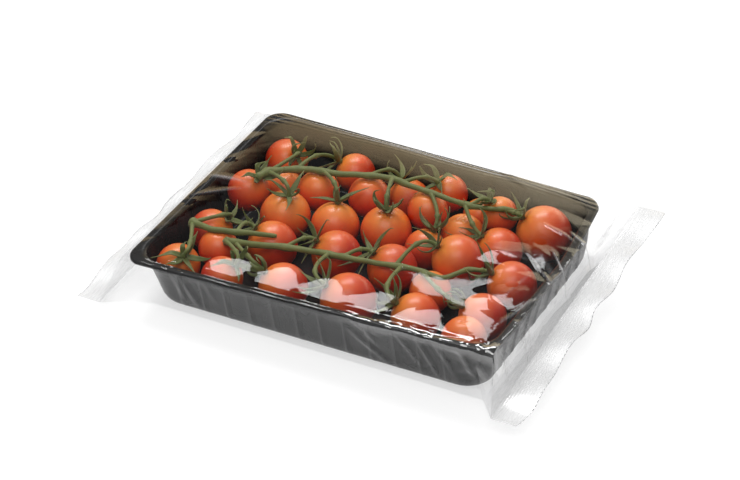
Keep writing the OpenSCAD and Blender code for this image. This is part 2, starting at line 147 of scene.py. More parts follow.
def speckle(tree, place, scale, detail):
    return add(tree, "ShaderNodeTexNoise", {"Vector": place, "Scale": scale, "Detail": detail}).outputs["Fac"]


def stored(tree, name, kind="Fac"):
    return add(tree, "ShaderNodeAttribute", attribute_name=name).outputs[kind]


def bumped(tree, height, strength, distance):
    return add(tree, "ShaderNodeBump", {
        "Height": height, "Strength": strength, "Distance": distance}).outputs["Normal"]


def blend(tree, factor, *colors):
    """A colour between two others, each of them a socket or three numbers."""
    first, second = [c if isinstance(c, bpy.types.NodeSocket) else (*c, 1) for c in colors]
    return add(tree, "ShaderNodeMix", {"Factor": factor, 6: first, 7: second}, data_type="RGBA").outputs[2]


def ring_faces(first, second, n):
    """Quads between two rings of n points that start at these indices."""
    return [(first + i, first + (i + 1) % n, second + (i + 1) % n, second + i) for i in range(n)]


def outward(points, faces):
    """The faces, turned over if they enclose a negative volume."""
    p = np.asarray(points)
    volume = 0.0
    for f in faces:
        for k in range(1, len(f) - 1):
            volume += np.dot(p[f[0]], np.cross(p[f[k]], p[f[k + 1]]))
    return faces if volume > 0 else [tuple(reversed(f)) for f in faces]


def material(name):
    made = bpy.data.materials.new(name)
    made.use_nodes = True
    made.node_tree.nodes.clear()
    return made, made.node_tree, add(made.node_tree, "ShaderNodeOutputMaterial")


def finish_piece(obj, slot, *replaced):
    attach(obj, "root")
    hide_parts(*replaced)
    obj.data.calc_loop_triangles()
    print(obj.name, "has", len(obj.data.loop_triangles), "triangles")


# %% [markdown]
# ## Room and light
# The object stands on a white sheet in soft light. The sheet is a plain floor. Its paleness comes
# from its colour and, for the rays that show a background, from some emission, so that the object
# isn't lit harder for the background's sake. What the film mirrors makes the picture. A soft box
# high behind the pack shows as the bright strip along the front rim, a small one below it as the
# pale patch in the front right corner, and one on the camera's side as the broad highlights on the
# tomatoes. A dim warm wall behind the pack, up to about 28 degrees over the horizon, shows as the
# brown haze at the back, and between them the film mirrors little and stays clear.

# %% Floor and world
FLOOR_HALF, FLOOR_GLOW = 6000, 0.63
ROOM_LIGHT, LESS_IN_MIRRORS = 0.45, 0.33


def white_ground():
    made, tree, out = material("white_ground")
    path = add(tree, "ShaderNodeLightPath")
    seen = math_node(tree, "MAXIMUM", path.outputs["Is Camera Ray"], path.outputs["Is Glossy Ray"])
    seen = math_node(tree, "MAXIMUM", seen, path.outputs["Is Transmission Ray"])
    diffuse = add(tree, "ShaderNodeBsdfDiffuse", {"Color": (0.5, 0.5, 0.5, 1)})
    glow = add(tree, "ShaderNodeEmission", {"Strength": times(tree, seen, FLOOR_GLOW)})
    both = add(tree, "ShaderNodeAddShader", {0: diffuse.outputs[0], 1: glow.outputs[0]})
    tree.links.new(both.outputs[0], out.inputs["Surface"])
    return made


floor_corners = [(sx * FLOOR_HALF, sy * FLOOR_HALF, 0) for sx, sy in ((-1, -1), (1, -1), (1, 1), (-1, 1))]
floor = mesh_object("floor", floor_corners, [(0, 1, 2, 3)])
floor.data.materials.append(white_ground())

world = bpy.data.worlds.new("studio")
bpy.context.scene.world = world
world.use_nodes = True
sky = world.node_tree
sky.nodes.clear()
path = add(sky, "ShaderNodeLightPath")
seen = math_node(sky, "MAXIMUM", path.outputs["Is Camera Ray"], path.outputs["Is Transmission Ray"])
strength = math_node(sky, "ADD", ROOM_LIGHT, times(sky, seen, 1 - ROOM_LIGHT))
strength = math_node(sky, "SUBTRACT", strength, times(sky, path.outputs["Is Glossy Ray"], LESS_IN_MIRRORS))
back = add(sky, "ShaderNodeBackground", {"Color": (1, 1, 1, 1), "Strength": strength})
sky_out = add(sky, "ShaderNodeOutputWorld")
sky.links.new(back.outputs[0], sky_out.inputs["Surface"])
print("the room gives", ROOM_LIGHT, "of full white, and mirrors see", round(ROOM_LIGHT - LESS_IN_MIRRORS, 2))

# %% Warm wall behind the pack
WALL_Y, WALL_LEFT, WALL_RIGHT, WALL_TOP = 2200, -2600, 1800, 1400
FADES_OUT, GETS_PALER = (0.98, 1.34), (-0.95, -0.1)  # in metres up the wall and along it


def warm_wall():
    """Dim brown paint that fades out at its top and gets paler towards the right-hand end."""
    made, tree, out = material("warm_wall")
    xyz = add(tree, "ShaderNodeSeparateXYZ", {0: add(tree, "ShaderNodeTexCoord").outputs["Object"]}).outputs
    fade = mapped(tree, xyz[2], FADES_OUT, (1, 0), interpolation_type="SMOOTHSTEP")
    color = blend(tree, mapped(tree, xyz[0], GETS_PALER), (1.1, 0.85, 0.5), (2.5, 2.25, 1.65))
    glow = add(tree, "ShaderNodeEmission", {"Color": color, "Strength": fade})
    tree.links.new(glow.outputs[0], out.inputs["Surface"])
    return made


wall_corners = [(WALL_LEFT, 0), (WALL_RIGHT, 0), (WALL_RIGHT, WALL_TOP), (WALL_LEFT, WALL_TOP)]
wall = mesh_object("warm_wall", [(x, WALL_Y, z) for x, z in wall_corners], [(0, 1, 2, 3)])
wall.data.materials.append(warm_wall())
wall.visible_diffuse = False
wall.visible_camera = False
wall.visible_shadow = False
wall.visible_transmission = False
print("the wall stands", WALL_Y, "mm behind the pack")

# %% Soft boxes
def soft_box(name, azimuth, elevation, distance, width, tall, power):
    """An area lamp that faces the pack, azimuth counted from the front towards the right."""
    a, e = math.radians(azimuth), math.radians(elevation)
    place = Vector((math.sin(a) * math.cos(e), -math.cos(a) * math.cos(e), math.sin(e))) * distance
    lamp = bpy.data.lights.new(name, "AREA")
    lamp.shape = "RECTANGLE"
    lamp.size, lamp.size_y = width, tall
    lamp.energy = power
    obj = bpy.data.objects.new(name, lamp)
    obj.matrix_world = Matrix.Translation(place) @ place.to_track_quat("Z", "Y").to_matrix().to_4x4()
    bpy.context.collection.objects.link(obj)
    print(name, "stands", distance, "m away")


soft_box("over_box", 213, 62, 1.3, 0.78, 0.42, 11)
soft_box("corner_box", 199, 43, 1.3, 0.28, 0.13, 0.9)
soft_box("key_box", 15, 64, 1.5, 1.0, 0.8, 8)

# %% [markdown]
# ## Where the tomatoes are
# Each tomato of the CAD model is a ball with a hollow at its stem end. A least-squares ball through
# the points of its node gives the centre and the radius, and the point that lies nearest to the
# centre is the bottom of the hollow, which gives the direction of the stem. So the fruit, the
# stalks and the film below all follow the CAD model, whatever its sizes are.

# %% Measure the tomatoes
def measure_ball(obj):
    points = np.array([v.co for v in obj.data.vertices]) / MM
    kept = points
    for _ in range(3):
        rows = np.c_[2 * kept, np.ones(len(kept))]
        found = np.linalg.lstsq(rows, (kept ** 2).sum(axis=1), rcond=None)[0]
        centre = found[:3]
        radius = math.sqrt(found[3] + centre @ centre)
        kept = points[np.linalg.norm(points - centre, axis=1) > radius - 0.05]
    depth = np.linalg.norm(points - centre, axis=1)
    return centre, radius, unit(points[depth.argmin()] - centre)


fruit_names = sorted(name for name in nodes if name.startswith("tomato_"))
fruit = [measure_ball(nodes[name]) for name in fruit_names]
centres = np.array([f[0] for f in fruit])
radii = np.array([f[1] for f in fruit])
axes = np.array([f[2] for f in fruit])
print(len(fruit), "tomatoes, %.1f to %.1f mm across" % (2 * radii.min(), 2 * radii.max()))

# %% [markdown]
# ## Sizes shared by the tray, the vines and the film
# These are the values of the part's source. The loaded rim of the real tray is twisted, and the
# tight film pulls its back right corner in, so every point of the tray goes through the twist and
# the bend, and the film follows the same twist.

# %% Shared sizes
TRAY_L, TRAY_W, TRAY_H, SHEET = 190, 144, 29, 0.6
RIM_W, LIP, RIM_R, WALL_LEAN, WALL_R = 4, 1.6, 9, 6, 12
TWIST, CORNER_PULL, BEND_START = 2.8, 9, 0.16
RIB_PITCH, RIB_W, RIB_D, RIB_END, RIB_SPREAD = 12.5, 3, 0.8, 4, 0.62
FOOT_R, FOOT_W, FLOOR_STEP = 3, 6, 1.5
FILM_T, FILM_GAP, END_REACH, SEAL_W, SEAL_Z, SEAL_TILT = 0.3, 0.3, 20, 12, 15, 5
SEAL_WAVE, EAR, FOOT_SLACK, HEAD_ROOM, FIN_W = 0.8, 14, 1.5, 2.6, 9
HALF_L, HALF_W = TRAY_L / 2, TRAY_W / 2
FOOT_IN = RIM_W + WALL_LEAN
RIM_Z = RISE + TRAY_H


def twist(x, y):
    return -TWIST * np.clip(x / HALF_L, -1, 1) * np.clip(y / HALF_W, -1, 1)


def warp(points):
    """The twist and the corner's bend, at full strength at the rim and none at the foot."""
    x, y, z = points.T
    t = ramp((z - RISE) / TRAY_H) ** 2
    bend = CORNER_PULL * np.maximum(0, (y / HALF_W - BEND_START) / (1 - BEND_START)) * np.maximum(0, x / HALF_L) ** 3
    return np.stack([x - bend * t, y, z + twist(x, y) * t], axis=1)


def crown_share(x, y):
    return (1 - np.minimum(1, np.abs(x / HALF_L)) ** 4) * (1 - np.minimum(1, np.abs(y / HALF_W)) ** 4)


tops = centres[:, 2] + radii + HEAD_ROOM - RIM_Z - twist(centres[:, 0], centres[:, 1])
CROWN = max(4, (tops / crown_share(centres[:, 0], centres[:, 1])).max())


def film_under(x, y):
    """Height of the underside of the top film."""
    return RIM_Z + FILM_GAP + twist(x, y) + CROWN * crown_share(x, y)


print("the top film stands %.1f mm over the rim" % CROWN)

# %% [markdown]
# ## Tray
# The real tray is one thin black sheet, drawn hot into a mould: a flat rim with a lip turned down,
# leaning walls with upright ribs, rounded turns, and a floor raised inside a standing ring. Every
# height of it is a rounded rectangle, so the shell is lofted through such rings, up the outside,
# over the rim and down the inside. The ribs are smooth swells of the same rings, which a formed
# sheet shows on both sides, and that is why they aren't separate pieces.

# %% Rings of the tray
CORNER_STEPS = 14


def side_places(straight, n):
    """Places along a straight side, and how far out a rib stands at each, from 0 to 1."""
    row = (n - 1) * RIB_PITCH + 2 * RIB_W
    squeeze = min(1, straight / row)
    core = np.linspace(-row / 2, row / 2, n * 15 + 1)
    near = np.abs((core + (n - 1) * RIB_PITCH / 2 + RIB_PITCH / 2) % RIB_PITCH - RIB_PITCH / 2)
    swell = eased(ramp(1 - near / (RIB_SPREAD * RIB_W)))
    ends = np.linspace(0, 1, 4)[1:-1]
    edge = row / 2 * squeeze
    tail = edge + (straight / 2 - edge) * ends
    none = np.zeros(len(ends))
    return np.r_[-tail[::-1], core * squeeze, tail], np.r_[none, swell, none]


def rib_count(straight):
    return max(2, 1 + int(straight // RIB_PITCH))


room = 2 * (FOOT_IN + WALL_R + 2)
RIBS_L, RIBS_W = rib_count(TRAY_L - room), rib_count(TRAY_W - room)


def tray_ring(inset, z, r, rib):
    hx, hy = HALF_L - inset, HALF_W - inset
    along, swell_l = side_places(2 * (hx - r), RIBS_L)
    across, swell_w = side_places(2 * (hy - r), RIBS_W)
    out = rib * RIB_D
    quarter = np.linspace(0, math.pi / 2, CORNER_STEPS + 1)
    parts = [np.c_[hx + swell_w * out, across]]
    for k, (sx, sy) in enumerate(((1, 1), (-1, 1), (-1, -1), (1, -1))):
        a = quarter + k * math.pi / 2
        parts.append(np.c_[sx * (hx - r) + r * np.cos(a), sy * (hy - r) + r * np.sin(a)])
        if k == 0:
            parts.append(np.c_[-along, hy + swell_l * out])
        if k == 1:
            parts.append(np.c_[-hx - swell_w * out, -across])
        if k == 2:
            parts.append(np.c_[along, -hy - swell_l * out])
    flat = np.concatenate(parts)
    return warp(np.c_[flat, np.full(len(flat), RISE + z)])


def wall_inset(z):
    return FOOT_IN - WALL_LEAN * z / TRAY_H


# %% Loft the tray
def wall_rings(offset):
    """Rings from the floor's middle to under the rim; the offset moves them to the inner face."""
    rib_top = TRAY_H - RIB_END - LIP
    inner = FOOT_IN + FOOT_R + FOOT_W
    rings = []
    for step in (26, 10, 3):
        rings.append((inner + FLOOR_STEP + step, FLOOR_STEP + offset, WALL_R, 0))
    for f in np.linspace(1, 0, 5):
        rings.append((inner + f * FLOOR_STEP, eased(f) * FLOOR_STEP + offset, WALL_R, 0))
    for a in np.radians([0, 22, 45, 68, 88]):
        inset = FOOT_IN + FOOT_R - (FOOT_R - offset) * math.sin(a) - 0.105 * FOOT_R * (1 - math.cos(a))
        z = FOOT_R - (FOOT_R - offset) * math.cos(a)
        rings.append((inset, z, WALL_R, 0.5 * (1 - math.cos(a))))
    for z, rib in ((RIB_END, 0.85), (RIB_END + 1.5, 1), (12, 1), (18, 1), (rib_top - 1, 1), (rib_top, 0.85)):
        rings.append((wall_inset(z) + offset, z, WALL_R, rib))
    for z, rib in ((rib_top + 1.2, 0.35), (TRAY_H - LIP, 0.05), (TRAY_H - LIP + 0.5, 0)):
        rings.append((wall_inset(z) + offset, z, WALL_R, rib))
    return rings


profile = wall_rings(0)
profile += [
    (RIM_W + 0.1, TRAY_H - SHEET - 0.2, WALL_R, 0), (RIM_W - 0.5, TRAY_H - SHEET, WALL_R - 0.5, 0),
    (1.2, TRAY_H - SHEET, RIM_R - 0.7, 0), (SHEET, TRAY_H - SHEET - 0.3, RIM_R - SHEET, 0),
    (SHEET, TRAY_H - LIP, RIM_R - SHEET, 0), (0, TRAY_H - LIP, RIM_R, 0), (0, TRAY_H - 0.7, RIM_R, 0),
    (0.2, TRAY_H - 0.2, RIM_R, 0), (0.7, TRAY_H, RIM_R - 0.2, 0), (RIM_W - 0.9, TRAY_H, WALL_R - 1, 0),
    (RIM_W - 0.2, TRAY_H - 0.15, WALL_R - 0.4, 0), (RIM_W + 0.3, TRAY_H - 0.7, WALL_R, 0),
]
profile += wall_rings(SHEET)[::-1]
rings = [tray_ring(*p) for p in profile]
n = len(rings[0])
faces = [tuple(range(n))]
for k in range(len(rings) - 1):
    faces += ring_faces(k * n, (k + 1) * n, n)
faces.append(tuple(reversed(range((len(rings) - 1) * n, len(rings) * n))))
tray_points = np.concatenate(rings)
tray = mesh_object("formed_tray", tray_points, outward(tray_points, faces), sharp=50)
print("the tray is lofted through", len(rings), "rings of", n, "points")

# %% [markdown]
# ## Black formed plastic
# Formed sheet is smooth and glossy, but never quite even: it is stretched thinner at the corners and
# keeps faint flow marks. A low-frequency noise moves the roughness, and a very shallow bump breaks
# up the mirror images on the walls.

# %% Tray material
def formed_black():
    made, tree, out = material("formed_black")
    place = add(tree, "ShaderNodeTexCoord").outputs["Object"]
    slow = speckle(tree, place, 45, 3)
    bump = bumped(tree, slow, 0.25, 0.0006)
    shader = add(tree, "ShaderNodeBsdfPrincipled", {
        "Base Color": blend(tree, slow, (0.009, 0.009, 0.0095), (0.016, 0.016, 0.0165)),
        "Roughness": mapped(tree, slow, (0, 1), (0.2, 0.34)), "Normal": bump,
        "IOR": 1.5, "Specular IOR Level": 0.2})
    tree.links.new(shader.outputs[0], out.inputs["Surface"])
    return made


tray.data.materials.append(formed_black())
finish_piece(tray, "tray_plastic", "tray")

# %% [markdown]
# ## Tomatoes
# Thirty-three fruit of one kind are a repeating thing, so Geometry Nodes make them: one smooth
# tomato, set on thirty-three points that carry the measured radius and the direction of the stem.
# The tomato is a little flat, hollow at the stem end with soft shoulders, and dented where the
# blossom was. Its own coordinates and a random number are stored on it before it is repeated,
# because the skin's colour is painted with them.

# %% An empty tree with named inputs
def new_tree(name, **inputs):
    """A Geometry Nodes tree, and what comes out of its input node. Hollow_depth becomes "Hollow depth"."""
    tree = bpy.data.node_groups.new(name, "GeometryNodeTree")
    sockets = [("Geometry", "INPUT", "Geometry")]
    sockets += [(key.replace("_", " "), "INPUT", kind) for key, kind in inputs.items()]
    for key, way, kind in sockets + [("Geometry", "OUTPUT", "Geometry")]:
        tree.interface.new_socket(key, in_out=way, socket_type="NodeSocket" + kind)
    return tree, add(tree, "NodeGroupInput").outputs


# %% The tree that makes and places the fruit
def fruit_tree(skin):
    tree, given = new_tree(
        "fruit on its places", Around="Int", Hollow_depth="Float", Hollow_width="Float", Shoulders="Float",
        Seed="Int")
    ball = add(tree, "GeometryNodeMeshUVSphere", {
        "Segments": given["Around"], "Rings": times(tree, given["Around"], 0.6), "Radius": 1.0})
    where = add(tree, "GeometryNodeInputPosition").outputs[0]
    xyz = add(tree, "ShaderNodeSeparateXYZ", {0: where}).outputs
    from_axis = math_node(tree, "SQRT", math_node(
        tree, "ADD", times(tree, xyz[0], xyz[0]), times(tree, xyz[1], xyz[1])))
    share = math_node(tree, "DIVIDE", from_axis, given["Hollow width"])
    fall = math_node(tree, "EXPONENT", times(tree, times(tree, share, share), -2))
    upper = math_node(tree, "GREATER_THAN", xyz[2], 0)
    around = math_node(tree, "ARCTAN2", xyz[1], xyz[0])
    lobes = math_node(tree, "COSINE", times(tree, around, 4))
    lobes = times(tree, lobes, times(tree, fall, given["Shoulders"]))
    # the hollow sinks at full depth above, and the blossom end a little over a third of it below
    sink = times(tree, fall, given["Hollow depth"])
    dent = times(tree, sink, math_node(tree, "SUBTRACT", 1.3, times(tree, upper, 0.3)))
    signed = times(tree, dent, math_node(tree, "SUBTRACT", times(tree, upper, 1.35), 0.35))
    move = add(tree, "ShaderNodeCombineXYZ", {2: math_node(tree, "SUBTRACT", lobes, signed)}).outputs[0]
    shaped = add(tree, "GeometryNodeSetPosition", {"Geometry": ball.outputs["Mesh"], "Offset": move})
    now = add(tree, "GeometryNodeInputPosition").outputs[0]
    kept = add(tree, "GeometryNodeStoreNamedAttribute", {
        "Geometry": shaped.outputs[0], "Name": "on_fruit", "Value": now}, data_type="FLOAT_VECTOR", domain="POINT")
    luck = add(tree, "FunctionNodeRandomValue", {"Seed": given["Seed"]}, data_type="FLOAT")
    chosen = add(tree, "GeometryNodeStoreNamedAttribute", {
        "Geometry": given["Geometry"], "Name": "luck", "Value": luck.outputs[1]}, data_type="FLOAT", domain="POINT")
    stem_way = add(tree, "GeometryNodeInputNamedAttribute", {"Name": "stem_way"}, data_type="FLOAT_VECTOR")
    size = add(tree, "GeometryNodeInputNamedAttribute", {"Name": "size"}, data_type="FLOAT")
    aimed = add(tree, "FunctionNodeAlignRotationToVector", {"Vector": stem_way.outputs[0]}, axis="Z")
    placed = add(tree, "GeometryNodeInstanceOnPoints", {
        "Points": chosen.outputs[0], "Instance": kept.outputs[0], "Rotation": aimed.outputs[0],
        "Scale": size.outputs[0]})
    real = add(tree, "GeometryNodeRealizeInstances", {0: placed.outputs[0]})
    smooth = add(tree, "GeometryNodeSetShadeSmooth", {"Geometry": real.outputs[0]})
    coated = add(tree, "GeometryNodeSetMaterial", {"Geometry": smooth.outputs[0], "Material": skin})
    add(tree, "NodeGroupOutput", {0: coated.outputs[0]})
    return tree


def grown(name, start, tree, **values):
    """Runs a Geometry Nodes tree on an object and returns the result as a plain mesh object."""
    way = start.modifiers.new("grow", "NODES")
    way.node_group = tree
    for item in tree.interface.items_tree:
        if item.in_out == "INPUT" and item.name in values:
            way[item.identifier] = values[item.name]
    ready = start.evaluated_get(bpy.context.evaluated_depsgraph_get())
    mesh = bpy.data.meshes.new_from_object(ready)
    mesh.name = name
    start.modifiers.remove(way)
    bpy.data.objects.remove(start)
    made = bpy.data.objects.new(name, mesh)
    bpy.context.collection.objects.link(made)
    return made


# %% [markdown]
# ## Tomato skin
# Ripe skin is a thin clear coat over soft red flesh. Light goes a little way in, so the red glows
# and its shadows stay warm. The upper part round the stem is lighter and more orange, partly for the
# real orange shoulders and partly as painted light from above, and each fruit has its own ripeness.
# Fine pale specks and a slow mottle keep the skin from looking like plastic.

# %% Skin material
def ripe_skin():
    made, tree, out = material("ripe_skin")
    own = stored(tree, "on_fruit", "Vector")
    luck = stored(tree, "luck")
    place = add(tree, "ShaderNodeTexCoord").outputs["Object"]
    z = add(tree, "ShaderNodeSeparateXYZ", {0: own}).outputs[2]
    mottle = speckle(tree, place, 130, 3)
    # partly real orange shoulders and partly painted top light: the upper part round the stem is made lighter and
    # more orange
    shoulder_and_painted_light = mapped(tree, math_node(tree, "ADD", z, times(tree, mottle, 0.5)), (0.1, 1.35))
    ripeness_and_painted_light = math_node(tree, "ADD", shoulder_and_painted_light, times(tree, math_node(tree, "SUBTRACT", luck, 0.5), 0.3))
    base = add(tree, "ShaderNodeValToRGB", {"Fac": ripeness_and_painted_light})
    stops = base.color_ramp.elements
    stops[0].position, stops[0].color = 0.0, (0.52, 0.026, 0.006, 1)
    stops[1].position, stops[1].color = 1.0, (0.80, 0.24, 0.03, 1)
    middle = stops.new(0.5)
    middle.color = (0.72, 0.105, 0.014, 1)
    specks = add(tree, "ShaderNodeTexVoronoi", {"Vector": place, "Scale": 900}).outputs["Distance"]
    pale = mapped(tree, specks, (0.05, 0.16), (0.12, 0))
    bump = bumped(tree, mottle, 0.12, 0.0004)
    shader = add(tree, "ShaderNodeBsdfPrincipled", {
        "Base Color": blend(tree, pale, base.outputs["Color"], (0.85, 0.35, 0.12)),
        "Roughness": mapped(tree, mottle, (0, 1), (0.4, 0.52)), "Normal": bump,
        "Subsurface Weight": 0.22, "Subsurface Radius": (1.0, 0.25, 0.1), "Subsurface Scale": 0.003,
        "Coat Weight": 0.3, "Coat Roughness": 0.2})
    tree.links.new(shader.outputs[0], out.inputs["Surface"])
    return made


# %% Grow the tomatoes
start = mesh_object("fruit_places", centres, [], size=radii * MM)
ways = start.data.attributes.new("stem_way", "FLOAT_VECTOR", "POINT")
ways.data.foreach_set("vector", axes.astype(np.float32).ravel())
tomatoes = grown("cherry_tomatoes", start, fruit_tree(ripe_skin()), **{
    "Around": 56, "Hollow depth": 0.085, "Hollow width": 0.34, "Shoulders": 0.02, "Seed": 7})
finish_piece(tomatoes, "tomato_skin", *fruit_names)

# %% [markdown]
# ## Vines
# A truss is a main stem with a short stalk to each fruit. The stalk has a knuckle where the fruit
# would drop off, and ends in a small green star of five or six narrow sepals that have dried and curled.
# The stems are tubes along smooth curves. Each route is a few places in millimetres, and where a
# tomato reaches higher than the route, the stem is laid on it. Sepals are narrow folded strips that
# bend away from the fruit by their own amount, with a fixed seed so that each run gives the same vines.

# %% Routes of the stems in millimetres: the stiff stems bridge the tomatoes that they lie on
front_stub = [(-79, -35, 31.6), (-64, -38.5, 32.4), (-54, -33, 31), (-46, -27, 28.6), (-40, -23, 27)]
front_stem = [
    (-57, -42, 30.5), (-53, -39, 28.8), (-44, -31, 25.6), (-37, -26.5, 24), (-27, -24, 23.6), (-17, -22, 23.6),
    (-2, -21, 24.2), (16, -19.4, 25), (28, -17.6, 25.3), (37, -17.8, 25.2), (44, -18, 24.6), (48, -11.5, 24),
    (52, -3.6, 23.4), (59.5, -1.3, 22.6)]
back_stem = [
    (-71, 12, 31.4), (-69, 18, 31.8), (-61.5, 24, 32.2), (-50, 28.5, 32.7), (-37, 30, 33.1), (-27, 33, 33.4),
    (-19, 35.4, 33.5), (-10.5, 37.4, 33.5), (-1.5, 36, 33.4), (8, 34.6, 33.2), (18, 34.4, 32.6), (30, 33.8, 31.8),
    (38, 34.8, 31.3), (47.5, 39, 30.5), (53, 43, 29), (56, 43.6, 27.4)]
on_front = (1, 2, 6, 7, 8, 9, 11, 14, 15, 20, 21, 22)
on_back = (3, 4, 5, 10, 12, 13, 16, 18, 19, 27, 28, 29)
CURLED = (7, 21)  # the fruit whose sepals are rolled into big loops
STEM_R, TIP_R, STALK_R, HUB_R, GAP = 1.8, 1.15, 0.95, 1.7, 0.3
LEAVES_AT = 7  # a stalk leaves its stem this many steps before the place nearest to the fruit


# %% Laying things on the tomatoes
def push_out(p, r):
    for c, big in zip(centres, radii):
        off = p - c
        touch = big + r + GAP
        if off @ off < touch * touch:
            lifted = np.array([off[0], off[1], max(off[2], 0.3 * big)])
            p = c + unit(lifted) * touch
    return p


def settle(p, r):
    p = push_out(p, r)
    p = np.array([p[0], p[1], min(p[2], film_under(p[0], p[1]) - r - GAP)])
    return push_out(p, r)


def drape(x, y, r):
    apart = np.hypot(x - centres[:, 0], y - centres[:, 1])
    touch = radii + r + GAP
    rests = centres[:, 2] + np.sqrt(np.maximum(0, touch ** 2 - apart ** 2))
    return max(RISE + 0.7 * TRAY_H, rests[apart < touch].max(initial=0))


def smooth_path(points, step=1.0):
    """A curve through the points, with a place about every step millimetres."""
    p = np.asarray(points, dtype=float)
    p = np.vstack([2 * p[0] - p[1], p, 2 * p[-1] - p[-2]])
    out = []
    for i in range(1, len(p) - 2):
        a, b, c, d = p[i - 1:i + 3]
        count = max(2, int(np.linalg.norm(c - b) / step))
        for t in np.arange(count) / count:
            out.append(0.5 * (2 * b + (c - a) * t + (2 * a - 5 * b + 4 * c - d) * t ** 2
                              + (3 * b - a - 3 * c + d) * t ** 3))
    return np.array(out + [p[-2]])


# %% Tubes and strips along a path
class Growth:
    """Collects tubes into one mesh, with how leafy each point is and how near the tip."""

    def __init__(self):
        self.points, self.faces, self.leafy, self.along = [], [], [], []

    def tube(self, path, wide, high, sides, up=None, fold=0.0, leafy=0.0, twist_by=0.0):
        first = len(self.points)
        way = np.gradient(path, axis=0)
        way /= np.linalg.norm(way, axis=1)[:, None]
        across = np.cross(way[0], up if up is not None else (0.1, 0.2, 1.0))
        turns = 2 * math.pi * (np.arange(sides) + 0.5) / sides
        for i, p in enumerate(path):
            across = unit(across - way[i] * (across @ way[i]))
            rise = np.cross(across, way[i])
            lean = twist_by * i / len(path)
            s = across * math.cos(lean) + rise * math.sin(lean)
            r = rise * math.cos(lean) - across * math.sin(lean)
            for a in turns:
                lift = fold * wide[i] * (abs(math.cos(a)) - 0.5)
                self.points.append(p + s * wide[i] * math.cos(a) + r * (high[i] * math.sin(a) + lift))
            self.leafy += [leafy] * sides
            self.along += [i / (len(path) - 1)] * sides
        last = first + (len(path) - 1) * sides
        self.faces.append(tuple(reversed(range(first, first + sides))))
        for k in range(first, last, sides):
            self.faces += ring_faces(k, k + sides, sides)
        self.faces.append(tuple(range(last, last + sides)))


def jitter(p, scale, amount):
    """A smooth wobble from sines, because Blender's noise_vector differs from run to run."""
    a = 2 * math.pi * scale * p[[1, 2, 0]]
    return 0.3 * amount * (np.sin(a + (0.3, 2.1, 4.4)) + np.sin(1.7 * a[[2, 0, 1]] + (1.9, 0.7, 5.2)))


# %% Main stems
def lay_stem(route):
    laid = smooth_path(route, 3.0)
    last = len(laid) - 1
    lowest = np.array([drape(x, y, lerp(STEM_R, TIP_R, i / last)) for i, (x, y, _) in enumerate(laid)])
    laid[:, 2] = np.maximum(laid[:, 2], lowest)
    laid[:, 2] = np.minimum(laid[:, 2], film_under(laid[:, 0], laid[:, 1]) - STEM_R - GAP)
    relax(laid)
    return smooth_path(laid, 1.2)


def grow_stem(growth, path, swells):
    last = len(path) - 1
    r = lerp(STEM_R, TIP_R, np.arange(last + 1) / last)
    for s in swells:
        near = np.linalg.norm(path - s, axis=1)
        r = r * (1 + 0.28 * np.exp(-(near / 2.6) ** 2))
    r[-1] *= 0.75
    wavy = np.array([p + jitter(p, 0.09, 0.35) for p in path])
    growth.tube(wavy, r, r * 0.93, 12)


# %% Stalks, knuckles and stars of sepals
def calyx_point(i):
    return centres[i] + axes[i] * (radii[i] + 0.8)


def grow_stalk(growth, i, start, luck):
    end = calyx_point(i)
    reach = np.linalg.norm(end - start)
    bend = end + axes[i] * reach * 0.45 + jitter(end, 0.05, 2.0)
    t = np.linspace(0, 1, 22)[:, None]
    curve = start * (1 - t) ** 2 + bend * 2 * t * (1 - t) + end * t ** 2
    curve = np.array([settle(p, STALK_R) if 2 < k < 19 else p for k, p in enumerate(curve)])
    relax(curve)
    relax(curve)
    s = t[:, 0]
    knuckle = luck.uniform(0.42, 0.6)
    r = STALK_R * (1 + 0.55 * np.exp(-((s - knuckle) / 0.05) ** 2) + 0.35 * np.exp(-(s / 0.12) ** 2)
                   + 0.8 * ramp((s - 0.9) / 0.1) ** 2)
    growth.tube(curve, r, r, 9)


def grow_sepal(growth, i, turn, luck):
    axis = axes[i]
    level = unit(np.cross(axis, (0.3, 0.2, 1.0)))
    out = level * math.cos(turn) + np.cross(axis, level) * math.sin(turn)
    sideways = np.cross(axis, out)
    long = luck.uniform(13, 18)
    steps = 16
    lift = math.radians(luck.uniform(4, 42))
    if i + 1 in CURLED:
        curl = luck.uniform(200, 300)
    else:
        curl = luck.choice([luck.uniform(-20, 60), luck.uniform(60, 150)])
    curl = math.radians(curl)
    drift = luck.uniform(-0.9, 0.9)
    p = calyx_point(i) - axis * 0.2 + out * 0.7
    path = [p]
    for k in range(steps):
        a = lift + curl * (k / steps) ** 1.5
        way = out * math.cos(a) + axis * math.sin(a) + sideways * drift * (k / steps)
        p = settle(p + unit(way) * long / steps, 0.45)
        path.append(p)
    path = np.array(path)
    relax(path)
    s = np.linspace(0, 1, steps + 1)
    leaf = 0.6 + 0.6 * np.sin(math.pi * ramp(s * 1.2 + 0.12)) ** 0.8
    wide = luck.uniform(1.2, 1.6) * leaf * (1 - 0.88 * s ** 1.6)
    growth.tube(path, np.maximum(wide, 0.1), 0.14 + 0.26 * (1 - s), 8, up=axis, fold=0.6, leafy=1.0,
                twist_by=luck.uniform(-1.2, 1.2))


def grow_hub(growth, i):
    base = centres[i] + axes[i] * (radii[i] - 0.9)
    path = np.array([base, base + axes[i] * 0.9, base + axes[i] * 1.5, base + axes[i] * 2.2])
    r = np.array([0.5, 1.0, 0.95, 0.5]) * HUB_R
    growth.tube(path, r, r, 10, leafy=0.4)


